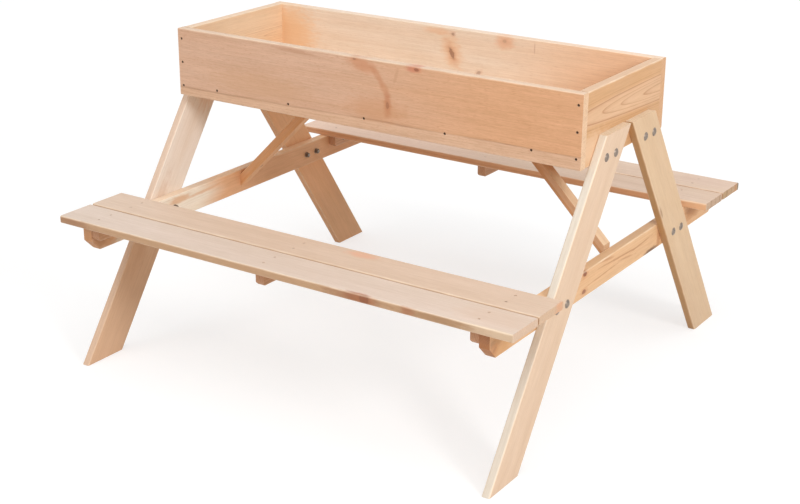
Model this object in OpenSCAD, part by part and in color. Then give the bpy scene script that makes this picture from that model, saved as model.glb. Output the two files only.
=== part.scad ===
// Child's picnic table whose top is an open sandbox tub, with two benches.
// Millimetres, +Z up. The origin is on the ground, under the middle of the tub.
// +X runs along the tub and the benches, and -Y is the front.

/* [Tub] */
// Length of the tub over its end boards
tub_l = 900; // [700:10:1200]
// Width of the tub over its long boards
tub_w = 330; // [290:5:400]
// Height of the tub's boards
tub_h = 135; // [115:5:180]
// Thickness of the tub's boards
tub_t = 18; // [15:1:24]
// Height of the tub's rim above the ground
rim_z = 620; // [580:10:700]
// Thickness of the floor panel
floor_t = 9; // [6:1:12]
// Height of the floor panel's underside above the boards' lower edge
floor_up = 17; // [17:1:30]
// Gap between the floor panel and the boards around it
floor_gap = 0.2; // [0.1:0.1:0.3]

/* [Legs] */
// Width of a leg board
leg_w = 80; // [70:5:95]
// Thickness of a leg board
leg_t = 16; // [14:1:24]
// Width over the feet, from one foot's outer edge to the other's
feet_w = 942; // [880:2:1000]
// Gap between the inner corners of a pair of legs at their tops
leg_gap = 6; // [2:1:20]
// Height of the legs' level top cut above the tub's lower edge
leg_lap = 50; // [40:5:65]

/* [Cross rails] */
// Height of a cross rail
rail_h = 50; // [44:2:60]
// Thickness of a cross rail
rail_t = 20; // [18:1:24]
// Distance from a rail's end to the seat's outer edge
rail_back = 12; // [0:2:30]
// Length and height of the bevel under each end of a rail
rail_bevel = 22; // [14:2:30]

/* [Seats] */
// Height of the seats above the ground
seat_z = 304; // [280:2:340]
// Thickness of a seat board
seat_t = 15; // [14:1:20]
// Width of a seat board
seat_board_w = 83; // [70:1:95]
// Gap between the two boards of a seat
seat_gap = 4; // [2:1:10]
// How far a seat runs past the outer face of the legs
seat_over = 32; // [10:2:60]
// Gap between a leg's outer edge and the seat, at the seat's underside
seat_clear = 28; // [10:2:60]

/* [Battens and braces] */
// Width of the batten stock, upright under the seats and level on the braces
stick_w = 25; // [22:1:30]
// Thickness of the batten stock
stick_t = 18; // [15:1:22]
// Distance from a batten's inner end to the seat's inner edge
batten_in = 9; // [4:1:20]
// Distance from a batten's outer end to the seat's outer edge
batten_out = 14; // [4:1:30]
// Size of the bevel under each end of a batten
batten_bevel = 5; // [2:1:8]
// Place of the middle battens along the seats, from the centre
batten_shift = -22; // [-40:2:40]
// Slope of the two braces above level, in degrees
brace_slope = 45; // [40:1:50]
// Height of the left brace's heel above its rail's top, below it when negative
left_heel = -10; // [-14:1:12]
// Height of the right brace's heel above its rail's top
right_heel = 10; // [-14:1:12]

/* [Bolts] */
// Diameter of a carriage bolt's shank
bolt_d = 6; // [5:0.5:6]
// Diameter of a bolt's domed head
bolt_head_d = 16; // [13:0.5:18]
// Height of a bolt's domed head
bolt_head_h = 3.4; // [2.5:0.1:5]
// Depth of the square neck under the head
bolt_neck = 4; // [3:0.5:6]
// Distance between the two bolts of a pair
bolt_pitch = 36; // [28:2:44]
// Height of the upper bolts above the tub's lower edge
bolt_up = 10.5; // [8:0.5:10.5]
// Length of thread that stands out of a nut
bolt_tail = 3; // [1:0.5:6]
// Size across a nut's flats
nut_af = 10; // [9:0.5:10]
// Thickness of a nut
nut_t = 5; // [3:0.5:6]
// Diameter of a washer
washer_d = 12; // [11.5:0.5:13]
// Thickness of a washer
washer_t = 1.6; // [1:0.2:2.4]

/* [Nails and screws] */
// Diameter of a nail's shank
nail_d = 2.4; // [1.8:0.2:3]
// Diameter of a nail's head
nail_head_d = 5; // [4:0.5:6]
// Thickness of a nail's head
nail_head_t = 1; // [0.6:0.2:1.6]
// Length of the tub's nails
tub_nail_l = 45; // [40:1:55]
// Length of the seats' nails
seat_nail_l = 35; // [30:1:36]
// Number of nails at each corner of the tub
corner_nails = 3; // [2:1:4]
// Number of nails from each long board into the floor panel
floor_nails_per_side = 5; // [3:1:7]
// Distance from the tub's upper and lower edges to the outermost corner nails
corner_nail_in = 20; // [12:1:30]
// Distance from the tub's ends to the first floor nail
floor_nail_in = 96; // [60:2:140]
// Distance between the two nails of a seat board on one batten
seat_nail_pitch = 32; // [20:2:44]
// Diameter of a screw's shank
screw_d = 4; // [3:0.5:4.5]
// Diameter of a screw's countersunk head
screw_head_d = 7.5; // [6:0.5:9]
// Length of the screws that hold the battens to the rails
batten_screw_l = 32; // [26:1:32]
// Length of the nails that hold the braces
brace_nail_l = 25; // [22:1:26]
// Distance from the rail to the slanted nail at a brace's heel
toe_in = 6; // [5:0.5:8]

/* [Edges and fits] */
// Radius of the eased edges of the legs and the seat boards
ease_board = 3; // [1:0.5:4]
// Radius of the eased edges of the rails, the battens and the braces
ease_stick = 2; // [0.5:0.5:3]
// Radius of the eased edges of the tub's boards
ease_tub = 2; // [0.5:0.5:3]
// Clearance of a bolt in its hole, all round
bolt_fit = 0.25; // [0.1:0.05:0.5]
// Clearance of a nail, a screw or a nut's thread, all round
nail_fit = 0.05; // [0.02:0.01:0.1]

/* [Hidden] */
$fn = 32;
// Size of the blocks that cut a piece to length, and how far holes run past a face
far = 3000;
skin = 1;

// Underside of the tub's boards and of its floor panel, and the space inside it
tub_z = rim_z - tub_h;
floor_z = tub_z + floor_up;
in_l = tub_l - 2 * tub_t;
in_w = tub_w - 2 * tub_t;
// Middle of an end board's thickness
end_x = (tub_l - tub_t) / 2;

// The legs of a pair lean towards each other, so that a board leg_w wide runs
// from the foot's outer corner to the top's inner corner. leg_cut is the width
// of a level cut through a leg.
leg_top = tub_z + leg_lap;
leg_run = (feet_w - leg_gap) / 2;
leg_lean = acos(leg_w / sqrt(pow(leg_run, 2) + pow(leg_top, 2))) - atan2(leg_top, leg_run);
leg_cut = leg_w / cos(leg_lean);
// Distance of a leg's centre line from the middle, at a height
function leg_y(z) = (feet_w - leg_cut) / 2 - z * tan(leg_lean);

seat_under = seat_z - seat_t;
seat_in = leg_y(seat_under) + leg_cut / 2 + seat_clear;
seat_out = seat_in + 2 * seat_board_w + seat_gap;
seat_l = tub_l + 2 * leg_t + 2 * seat_over;
// Distance of a seat's two boards from the middle: the inner, then the outer
seat_mid = [seat_in + seat_board_w / 2, seat_out - seat_board_w / 2];

// Inner face of a cross rail, its length and the middle of its height
rail_x = tub_l / 2 - rail_t;
rail_l = 2 * (seat_out - rail_back);
rail_z = seat_under - rail_h / 2;

// Battens lie under both boards of a seat, one against each rail and one between
batten_l = seat_out - seat_in - batten_in - batten_out;
batten_y = seat_in + batten_in + batten_l / 2;
batten_z = seat_under - stick_w / 2;
batten_xs = [stick_t / 2 - rail_x, batten_shift, rail_x - stick_t / 2];

// Height of a brace's plumb cut at its heel, and width of its level cut on top
brace_plumb = stick_t / cos(brace_slope);
brace_level = stick_t / sin(brace_slope);
// Distance of the level cut's outer edge from the middle, for a heel's height
function brace_top_x(heel) = rail_x - (floor_z - seat_under - heel) / tan(brace_slope);
// Middle of the height that a brace and its rail share where the nail goes in
function toe_z(heel) =
    seat_under + (heel - brace_plumb + toe_in * tan(brace_slope) + min(heel, 0)) / 2;

// Rows of bolts: their height, and the thickness of what the leg is bolted to
low_row = [rail_z, rail_t];
high_row = [tub_z + bolt_up, tub_t];
// Radius of the sphere that a bolt's domed head is cut from
dome_r = (pow(bolt_head_d / 2, 2) + pow(bolt_head_h, 2)) / (2 * bolt_head_h);
// Bevels on the tip of a bolt and round the outer face of a nut
bolt_tip = 0.8;
nut_bevel = 0.6;

corner_nail_step = (tub_h - 2 * corner_nail_in) / (corner_nails - 1);
floor_nail_step = (tub_l - 2 * floor_nail_in) / (floor_nails_per_side - 1);

// Colours: planed softwood in three shades, plywood and two metals
pale_wood = [0.93, 0.81, 0.69];
peach_wood = [0.90, 0.73, 0.58];
tan_wood = [0.84, 0.67, 0.52];
plywood = [0.82, 0.68, 0.50];
zinc = [0.68, 0.69, 0.71];
nail_steel = [0.42, 0.40, 0.38];

// Section of a board whose four long edges are eased
module eased(w, t, r) {
    square([w - 2 * r, t], center = true);
    square([w, t - 2 * r], center = true);
    for (sx = [-1, 1], sy = [-1, 1])
        translate([sx * (w / 2 - r), sy * (t / 2 - r)]) circle(r);
}

// Boards centred on the origin that run along X, Y and Z
module board_x(l, w_y, w_z, r) {
    rotate([90, 0, 90]) linear_extrude(l, center = true) eased(w_y, w_z, r);
}

module board_y(l, w_x, w_z, r) {
    rotate([90, 0, 0]) linear_extrude(l, center = true) eased(w_x, w_z, r);
}

module board_z(l, w_x, w_y, r) {
    linear_extrude(l, center = true) eased(w_x, w_y, r);
}

// Cutter for a bevel, with its middle on an edge that runs along X
module bevel(size) {
    rotate([45, 0, 0]) cube([far, size * sqrt(2), size * sqrt(2)], center = true);
}

// Every piece is made at the right and the back, and mirrored to the other
// side (-1) or the other end (-1) of the table
module placed(side, end) {
    mirror([side < 0 ? 1 : 0, 0, 0]) mirror([0, end < 0 ? 1 : 0, 0]) children();
}

// Turn what points up so that it points out to the right, and out to the back
module out_right() { rotate([0, 90, 0]) children(); }
module out_back() { rotate([-90, 0, 0]) children(); }

// Round bar from the height 0 downwards
module down(d, l) { translate([0, 0, -l]) cylinder(d = d, h = l); }

// Nail with its flat head level with the height 0, and the hole that it fits
module nail(l, fit = 0) {
    down(nail_head_d + 2 * fit, nail_head_t + fit);
    down(nail_d + 2 * fit, l + fit);
}

module nail_hole(l) {
    nail(l, nail_fit);
    cylinder(d = nail_head_d + 2 * nail_fit, h = skin);
}

// Countersunk screw with its head level with the height 0, and its hole
module screw(l, fit = 0) {
    sink = (screw_head_d - screw_d) / 2;
    translate([0, 0, -sink])
        cylinder(d1 = screw_d + 2 * fit, d2 = screw_head_d + 2 * fit, h = sink);
    down(screw_d + 2 * fit, l + fit);
}

module screw_hole(l) {
    screw(l, nail_fit);
    cylinder(d = screw_head_d + 2 * nail_fit, h = skin);
}

// Carriage bolt with its domed head on the height 0. $stack is the thickness
// of the pieces that it holds together.
module carriage_bolt() {
    l = $stack + washer_t + nut_t + bolt_tail;
    intersection() {
        translate([0, 0, bolt_head_h - dome_r]) sphere(dome_r);
        cylinder(d = bolt_head_d, h = bolt_head_h);
    }
    translate([0, 0, -bolt_neck / 2]) cube([bolt_d, bolt_d, bolt_neck], center = true);
    down(bolt_d, l - bolt_tip);
    translate([0, 0, -l]) cylinder(d1 = bolt_d - 2 * bolt_tip, d2 = bolt_d, h = bolt_tip);
}

// Hole for a carriage bolt, square where its neck sits
module bolt_hole() {
    hole_d = bolt_d + 2 * bolt_fit;
    neck_l = skin + bolt_neck + bolt_fit;
    translate([0, 0, skin]) down(hole_d, $stack + 2 * skin);
    translate([0, 0, skin - neck_l / 2]) cube([hole_d, hole_d, neck_l], center = true);
}

module washer() {
    translate([0, 0, -$stack]) difference() {
        down(washer_d, washer_t);
        translate([0, 0, skin]) down(bolt_d + 2 * bolt_fit, washer_t + 2 * skin);
    }
}

// Hexagon nut, bevelled round its outer face
module nut() {
    face_d = nut_af - nut_bevel;
    translate([0, 0, -$stack - washer_t]) difference() {
        translate([0, 0, -nut_t]) intersection() {
            cylinder(d = nut_af / cos(30), h = nut_t, $fn = 6);
            cylinder(d1 = face_d, d2 = face_d + 2 * nut_t / tan(30), h = nut_t);
        }
        translate([0, 0, skin]) down(bolt_d + 2 * nail_fit, nut_t + 2 * skin);
    }
}

// Bolts out of the outer face of the right legs, in pairs
module at_bolts(rows, ends) {
    for (row = rows, end = ends, half = [-1, 1])
        let ($stack = leg_t + row[1])
            translate([
                tub_l / 2 + leg_t,
                end * leg_y(row[0]) + half * bolt_pitch / 2,
                row[0]
            ])
                out_right() children();
}

module at_all_bolts() {
    for (side = [-1, 1]) placed(side, 1) at_bolts([low_row, high_row], [-1, 1]) children();
}

// Nails out of the back board at the right, into the end board's end grain
module at_corner_nails() {
    for (i = [0 : corner_nails - 1])
        translate([end_x, tub_w / 2, tub_z + corner_nail_in + i * corner_nail_step])
            out_back() children();
}

// Nails out of the back board, into the floor panel's edge
module at_floor_nails() {
    for (i = [0 : floor_nails_per_side - 1])
        translate([
            floor_nail_in + i * floor_nail_step - tub_l / 2,
            tub_w / 2,
            floor_z + floor_t / 2
        ])
            out_back() children();
}

// Nails down through the back seat, into its battens
module at_seat_nails(boards, xs) {
    for (x = xs, board = boards, half = [-1, 1])
        translate([x, seat_mid[board] + half * seat_nail_pitch / 2, seat_z]) children();
}

// Screws through the batten at the right and the back, into the rail
module at_batten_screws() {
    for (y = seat_mid)
        translate([rail_x - stick_t, y, batten_z]) mirror([1, 0, 0]) out_right() children();
}

// Nails of the right brace: one slanted through the heel into the rail, and one
// down through the floor panel into the top
module at_toe_nail(heel) {
    translate([rail_x - toe_in, stick_w / 2, toe_z(heel)])
        rotate([0, 0, 45]) out_back() children();
}

module at_top_nail(heel) {
    translate([brace_top_x(heel) - brace_level / 6, 0, floor_z + floor_t]) children();
}

// Tub: a long board at the back and the front, with the end boards between them
module long_board() {
    color(peach_wood) difference() {
        translate([0, (tub_w - tub_t) / 2, tub_z + tub_h / 2])
            board_x(tub_l, tub_t, tub_h, ease_tub);
        for (side = [-1, 1]) placed(side, 1) at_corner_nails() nail_hole(tub_nail_l);
        at_floor_nails() nail_hole(tub_nail_l);
    }
}

module tub_front_board() { placed(1, -1) long_board(); }
module tub_back_board() { long_board(); }

module end_board() {
    color(peach_wood) difference() {
        translate([end_x, 0, tub_z + tub_h / 2]) board_y(in_w, tub_t, tub_h, ease_tub);
        for (end = [-1, 1]) placed(1, end) at_corner_nails() nail_hole(tub_nail_l);
        at_bolts([high_row], [-1, 1]) bolt_hole();
    }
}

module tub_left_end() { placed(-1, 1) end_board(); }
module tub_right_end() { end_board(); }

module tub_floor() {
    color(plywood) difference() {
        translate([0, 0, floor_z + floor_t / 2])
            cube([in_l - 2 * floor_gap, in_w - 2 * floor_gap, floor_t], center = true);
        for (end = [-1, 1]) placed(1, end) at_floor_nails() nail_hole(tub_nail_l);
        placed(-1, 1) at_top_nail(left_heel) nail_hole(brace_nail_l);
        at_top_nail(right_heel) nail_hole(brace_nail_l);
    }
}

// Leaning leg, cut level at its foot and its top
module leg() {
    color(tan_wood) difference() {
        intersection() {
            translate([(tub_l + leg_t) / 2, leg_y(0), 0])
                rotate([leg_lean, 0, 0]) board_z(far, leg_t, leg_w, ease_board);
            translate([0, -far / 2, 0]) cube([far, far, leg_top]);
        }
        at_bolts([low_row, high_row], [1]) bolt_hole();
    }
}

module leg_front_left() { placed(-1, -1) leg(); }
module leg_front_right() { placed(1, -1) leg(); }
module leg_back_left() { placed(-1, 1) leg(); }
module leg_back_right() { leg(); }

// Cross rail under both seats, bevelled below its ends
module cross_rail(heel) {
    color(peach_wood) difference() {
        translate([rail_x + rail_t / 2, 0, rail_z])
            board_y(rail_l, rail_t, rail_h, ease_stick);
        for (end = [-1, 1])
            translate([rail_x, end * rail_l / 2, rail_z - rail_h / 2]) bevel(rail_bevel);
        at_bolts([low_row], [-1, 1]) bolt_hole();
        for (end = [-1, 1]) placed(1, end) at_batten_screws() screw_hole(batten_screw_l);
        at_toe_nail(heel) nail_hole(brace_nail_l);
    }
}

module cross_rail_left() { placed(-1, 1) cross_rail(left_heel); }
module cross_rail_right() { cross_rail(right_heel); }

// Brace up from the rail to the floor panel, with its stock lying flat: cut
// plumb against the rail and level under the panel
module brace(heel) {
    color(tan_wood) difference() {
        intersection() {
            translate([rail_x, 0, seat_under + heel])
                rotate([0, brace_slope, 0]) translate([0, 0, -stick_t / 2])
                    board_x(far, stick_w, stick_t, ease_stick);
            translate([0, -far / 2, 0]) cube([rail_x, far, floor_z]);
        }
        at_toe_nail(heel) nail_hole(brace_nail_l);
        at_top_nail(heel) nail_hole(brace_nail_l);
    }
}

module brace_left() { placed(-1, 1) brace(left_heel); }
module brace_right() { brace(right_heel); }

// Seat board at the back, the inner (0) or the outer (1)
module seat_board(board) {
    color(pale_wood) difference() {
        translate([0, seat_mid[board], seat_under + seat_t / 2])
            board_x(seat_l, seat_board_w, seat_t, ease_board);
        at_seat_nails([board], batten_xs) nail_hole(seat_nail_l);
    }
}

module seat_front_outer_board() { placed(1, -1) seat_board(1); }
module seat_front_inner_board() { placed(1, -1) seat_board(0); }
module seat_back_inner_board() { seat_board(0); }
module seat_back_outer_board() { seat_board(1); }

// Batten under the back seat: at the left (0), in the middle (1), at the right (2)
module batten(i) {
    color(tan_wood) difference() {
        translate([batten_xs[i], batten_y, batten_z])
            board_y(batten_l, stick_t, stick_w, ease_stick);
        for (end = [-1, 1])
            translate([0, batten_y + end * batten_l / 2, batten_z - stick_w / 2])
                bevel(batten_bevel);
        at_seat_nails([0, 1], [batten_xs[i]]) nail_hole(seat_nail_l);
        for (side = [-1, 1]) placed(side, 1) at_batten_screws() screw_hole(batten_screw_l);
    }
}

module batten_front_left() { placed(1, -1) batten(0); }
module batten_front_mid() { placed(1, -1) batten(1); }
module batten_front_right() { placed(1, -1) batten(2); }
module batten_back_left() { batten(0); }
module batten_back_mid() { batten(1); }
module batten_back_right() { batten(2); }

// Hardware, each kind a group of like pieces
module carriage_bolts() { color(zinc) at_all_bolts() carriage_bolt(); }
module bolt_washers() { color(zinc) at_all_bolts() washer(); }
module bolt_nuts() { color(zinc) at_all_bolts() nut(); }

module tub_nails() {
    color(nail_steel)
        for (side = [-1, 1], end = [-1, 1])
            placed(side, end) at_corner_nails() nail(tub_nail_l);
}

module floor_nails() {
    color(nail_steel)
        for (end = [-1, 1]) placed(1, end) at_floor_nails() nail(tub_nail_l);
}

module seat_nails() {
    color(nail_steel)
        for (end = [-1, 1]) placed(1, end) at_seat_nails([0, 1], batten_xs) nail(seat_nail_l);
}

module batten_screws() {
    color(zinc)
        for (side = [-1, 1], end = [-1, 1])
            placed(side, end) at_batten_screws() screw(batten_screw_l);
}

module brace_nails() {
    color(nail_steel)
        for (fixing = [[-1, left_heel], [1, right_heel]])
            placed(fixing[0], 1) {
                at_toe_nail(fixing[1]) nail(brace_nail_l);
                at_top_nail(fixing[1]) nail(brace_nail_l);
            }
}

tub_front_board();
tub_back_board();
tub_left_end();
tub_right_end();
tub_floor();
leg_front_left();
leg_front_right();
leg_back_left();
leg_back_right();
cross_rail_left();
cross_rail_right();
brace_left();
brace_right();
seat_front_outer_board();
seat_front_inner_board();
seat_back_inner_board();
seat_back_outer_board();
batten_front_left();
batten_front_mid();
batten_front_right();
batten_back_left();
batten_back_mid();
batten_back_right();
carriage_bolts();
bolt_washers();
bolt_nuts();
tub_nails();
floor_nails();
seat_nails();
batten_screws();
brace_nails();
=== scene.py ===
# %% [markdown]
# # A child's picnic table with a sandbox for a top
#
# The real thing is a small garden table of planed softwood. Its top is an open
# tub for sand, four leaning legs are bolted to the tub's ends, and a bench of
# two boards runs along each side. Everything is nailed, screwed or bolted, so
# nothing moves.
#
# The boards come from the CAD model, whose shapes are right, and each one gets
# wood of its own. The small steel parts are modelled again here, with the
# details that a CAD solid leaves out. The scene is in metres, so a size in
# millimetres is a number times `MM`.

# %% Load the packed model
from math import cos, pi, radians, sin, sqrt, tan

import bmesh
import bpy
from mathutils import Matrix, Vector


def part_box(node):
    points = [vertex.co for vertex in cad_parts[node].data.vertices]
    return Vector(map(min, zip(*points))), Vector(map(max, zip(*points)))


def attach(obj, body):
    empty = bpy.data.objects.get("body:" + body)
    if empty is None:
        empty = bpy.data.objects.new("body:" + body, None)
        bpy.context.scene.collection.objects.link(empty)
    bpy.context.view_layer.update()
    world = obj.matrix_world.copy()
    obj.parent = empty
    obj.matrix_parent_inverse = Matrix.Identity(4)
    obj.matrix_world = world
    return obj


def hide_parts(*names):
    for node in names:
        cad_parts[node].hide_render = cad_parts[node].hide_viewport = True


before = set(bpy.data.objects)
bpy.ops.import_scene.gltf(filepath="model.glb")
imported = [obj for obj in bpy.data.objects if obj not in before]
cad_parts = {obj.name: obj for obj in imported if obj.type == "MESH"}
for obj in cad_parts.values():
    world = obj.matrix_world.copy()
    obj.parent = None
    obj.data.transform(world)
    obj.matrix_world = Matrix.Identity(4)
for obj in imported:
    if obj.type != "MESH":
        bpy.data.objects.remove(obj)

MM = 0.001
X, Y, Z = Vector((1, 0, 0)), Vector((0, 1, 0)), Vector((0, 0, 1))
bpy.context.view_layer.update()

# %% [markdown]
# ## Camera
#
# The photograph was taken from the table's right front corner, a little above
# it. A camera can be placed by eye, but here its place, its turn and its lens
# were worked out from points on the real table, so that the two pictures can be
# laid over each other. The picture is 800 pixels wide, and `focal` is the focal
# length in such pixels. Blender wants it in millimetres on a sensor 36 mm wide.

# %% Place the camera
eye = Vector((1.540473, -2.359087, 1.259233))
azimuth, elevation, roll = radians(33.603), radians(20.784), radians(0.333)
focal, picture_width, sensor, farthest = 1495.407, 800, 36, 60

back = Vector((
    sin(azimuth) * cos(elevation),
    -cos(azimuth) * cos(elevation),
    sin(elevation),
))
level = Vector((cos(azimuth), sin(azimuth), 0))
upright = back.cross(level)
right = cos(roll) * level + sin(roll) * upright
up = cos(roll) * upright - sin(roll) * level

camera = bpy.data.objects.new("camera", bpy.data.cameras.new("camera"))
bpy.context.scene.collection.objects.link(camera)
camera.matrix_world = (
    Matrix.Translation(eye) @ Matrix((right, up, back)).transposed().to_4x4()
)
camera.data.sensor_width = sensor
camera.data.lens = focal * sensor / picture_width
camera.data.clip_end = farthest
bpy.context.scene.camera = camera
print("lens, mm:", round(camera.data.lens, 2))

# %% [markdown]
# ## Finishes, node by node
#
# A material in Blender is a tree of nodes. Clicking it together by hand is fine
# for one board, but this table has two dozen, so `Finish` writes the tree in
# short calls. Each call adds one node and hands back its output, which the next
# call takes as an input.

# %% A helper that builds a material
class Finish:
    def __init__(self, name):
        self.material = bpy.data.materials.new(name)
        self.material.use_nodes = True
        self.tree = self.material.node_tree
        self.tree.nodes.clear()
        self.surface = self.add("BsdfPrincipled")
        self.add("OutputMaterial", {"Surface": self.surface.outputs["BSDF"]})

    def feed(self, socket, value):
        if isinstance(value, bpy.types.NodeSocket):
            self.tree.links.new(value, socket)
        else:
            socket.default_value = value

    def add(self, kind, inputs=None, **settings):
        node = self.tree.nodes.new("ShaderNode" + kind)
        for name, value in settings.items():
            setattr(node, name, value)
        for name, value in (inputs or {}).items():
            self.feed(node.inputs[name], value)
        return node

    def set(self, **inputs):
        for name, value in inputs.items():
            self.feed(self.surface.inputs[name.replace("_", " ")], value)

    def math(self, operation, *values):
        return self.add("Math", dict(enumerate(values)), operation=operation).outputs[0]

    def vector(self, operation, *values):
        node = self.add("VectorMath", dict(enumerate(values)), operation=operation)
        number = operation in ("LENGTH", "DOT_PRODUCT")
        return node.outputs["Value" if number else "Vector"]

    def blend(self, factor, first, second, how="MIX"):
        node = self.add("Mix", {0: factor, 6: first, 7: second},
                        data_type="RGBA", blend_type=how)
        return node.outputs[2]


def paint(red, green, blue, alpha=1.0):
    """A colour written as on a paint chart (0 to 255), as the light values that nodes use"""
    def light(value):
        value /= 255
        return value / 12.92 if value <= 0.04045 else ((value + 0.055) / 1.055) ** 2.4
    return (light(red), light(green), light(blue), alpha)


def grey(value):
    return (value, value, value, 1.0)


print("middle grey paint in light values:", round(paint(128, 128, 128)[0], 3))

# %% [markdown]
# ## Patterns
#
# A pattern needs three things: the place of each point on the piece, a texture
# that turns the place into a number, and a curve that turns the number into a
# tone. The place is read in Object coordinates, which are metres here, so every
# size below is a real one. The Mapping node, set to TEXTURE, looks at the place
# from a frame of our own: moved, turned and stretched.

# %% Patterns on top of a finish
class Pattern(Finish):
    def position(self):
        return self.add("TexCoord").outputs["Object"]

    def normal(self):
        return self.add("NewGeometry").outputs["Normal"]

    def seen_from(self, vector, place=(0, 0, 0), turn=(0, 0, 0), size=(1, 1, 1)):
        inputs = {"Vector": vector, "Location": place, "Rotation": turn, "Scale": size}
        return self.add("Mapping", inputs, vector_type="TEXTURE").outputs[0]

    def noise(self, vector, detail=2.0, rough=0.5):
        inputs = {"Vector": vector, "Scale": 1.0, "Detail": detail, "Roughness": rough}
        return self.add("TexNoise", inputs).outputs["Fac"]

    def noise_along(self, number, scale):
        inputs = {"W": number, "Scale": scale, "Detail": 0.0}
        return self.add("TexNoise", inputs, noise_dimensions="1D").outputs["Fac"]

    def fade(self, value, start, stop, low=0.0, high=1.0):
        """low at start, high at stop, and a soft step between them"""
        inputs = {"Value": value, "From Min": start, "From Max": stop,
                  "To Min": low, "To Max": high}
        node = self.add("MapRange", inputs, interpolation_type="SMOOTHSTEP")
        return node.outputs["Result"]

    def spread(self, value, low, high):
        """Noise keeps to the middle of its range, so a quarter and three quarters are its ends"""
        inputs = {"Value": value, "From Min": 0.25, "From Max": 0.75,
                  "To Min": low, "To Max": high}
        return self.add("MapRange", inputs).outputs["Result"]

    def ramp(self, value, stops):
        node = self.add("ValToRGB", {"Fac": value})
        band = node.color_ramp
        while len(band.elements) < len(stops):
            band.elements.new(1.0)
        for element, (place, colour) in zip(band.elements, stops):
            element.position = place
            element.color = colour
        return node


print("pattern helpers:", sum(callable(helper) for helper in vars(Pattern).values()))

# %% [markdown]
# ## Studio
#
# The photograph shows the table cut out on pure white, so its lamps can only be
# found from the table's own light and shade. The tub throws a shadow on the
# inner faces of the left legs, and light slips between the right legs onto the
# brace. Lines drawn back through both meet on the right, low and a little
# forward: that is where the main softbox stands, here almost 4 m from the tub.
# Two wide, weak suns, one from the front and one from above, fill the long faces
# and the benches, and the sky fills the rest.
#
# What the camera sees as white is not light on the table: the Light Path node
# gives the background full strength only for rays from the camera and for
# reflections.

# %% Light the scene
def lamp(name, kind, place, aim, energy, **settings):
    light = bpy.data.objects.new(name, bpy.data.lights.new(name, kind))
    bpy.context.scene.collection.objects.link(light)
    light.location = place
    light.rotation_euler = (Vector(place) - Vector(aim)).to_track_quat("Z", "Y").to_euler()
    light.data.energy = energy
    for setting, value in settings.items():
        setattr(light.data, setting, value)
    print(name + ":", round(energy, 2))


middle = (0, 0, 0.4)
lamp("main_softbox", "AREA", (3.4, -1.24, 1.9), middle, 58.0, shape="DISK", size=0.92)
lamp("front_fill", "SUN", (-0.4, -2.2, 2.0), middle, 0.20 * pi, angle=radians(50))
lamp("overhead", "SUN", (0.2, -0.4, 2.4), middle, 0.34 * pi, angle=radians(70))
bpy.context.scene.view_settings.view_transform = "Standard"


def white_to_camera(tree, own, shown):
    """A number: `own` for light on the table, `shown` in the picture and in reflections"""
    path = tree.nodes.new("ShaderNodeLightPath")
    seen = path.outputs["Is Camera Ray"]
    for kind in ("Is Glossy Ray", "Is Transmission Ray"):
        either = tree.nodes.new("ShaderNodeMath")
        either.operation = "MAXIMUM"
        tree.links.new(seen, either.inputs[0])
        tree.links.new(path.outputs[kind], either.inputs[1])
        seen = either.outputs[0]
    choice = tree.nodes.new("ShaderNodeMapRange")
    tree.links.new(seen, choice.inputs["Value"])
    choice.inputs["To Min"].default_value = own
    choice.inputs["To Max"].default_value = shown
    return choice.outputs["Result"]


sky_strength = 0.42
sky = bpy.data.worlds.new("studio")
bpy.context.scene.world = sky
sky.use_nodes = True
background = sky.node_tree.nodes["Background"]
background.inputs["Color"].default_value = grey(1.0)
sky.node_tree.links.new(
    white_to_camera(sky.node_tree, sky_strength, 1.0), background.inputs["Strength"]
)
print("sky strength:", sky_strength)

# %% [markdown]
# ## Floor
#
# A big sheet of paper lies half a millimetre under the feet. To be white in the
# picture it would have to be lit more than the table, so it glows a little by
# itself for the camera, and is a plain grey under that glow, which lets the
# table's soft shadow stay. For the light that bounces up under the table it is
# warm paper without any glow.

# %% Lay the floor
floor_half, below_feet = 14, 0.5 * MM
warm_paper, grey_paper, glow = (0.72, 0.60, 0.48, 1.0), grey(0.42), 0.64

floor_mesh = bmesh.new()
bmesh.ops.create_grid(floor_mesh, x_segments=1, y_segments=1, size=floor_half)
floor_data = bpy.data.meshes.new("studio_floor")
floor_mesh.to_mesh(floor_data)
floor_mesh.free()
studio_floor = bpy.data.objects.new("studio_floor", floor_data)
bpy.context.scene.collection.objects.link(studio_floor)
studio_floor.location.z = -below_feet

paper = Finish("studio_paper")
shown = white_to_camera(paper.tree, 0.0, 1.0)
paper.set(Base_Color=paper.blend(shown, warm_paper, grey_paper), Roughness=0.9,
          Specular_IOR_Level=0.0, Emission_Color=grey(1.0),
          Emission_Strength=white_to_camera(paper.tree, 0.0, glow))
studio_floor.data.materials.append(paper.material)
print("floor size, m:", *[round(size, 1) for size in studio_floor.dimensions])

# %% [markdown]
# ## Softwood
#
# A plank is a slice of a tree, and its figure is where the saw met the growth
# rings. The lines could be drawn on each face, but then they would not meet at
# the edges. So the wood here is solid: the rings are drawn round a pith line
# that lies beside the board, a little out of line with it, and each face shows
# what it cuts. Flat faces show long arches, edges show straight lines, and the
# sawn ends show arcs.
#
# `along` is the direction of the grain and `face` the direction that the wide
# face looks in. Every number about the wood is in metres, in that board's own
# frame: `s` along, `w` across and `t` through. All noise is stretched along the
# grain, and a direction in which a pattern must not change is made `ENDLESS`.

# %% A board's own frame
ENDLESS = 1e6


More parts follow.
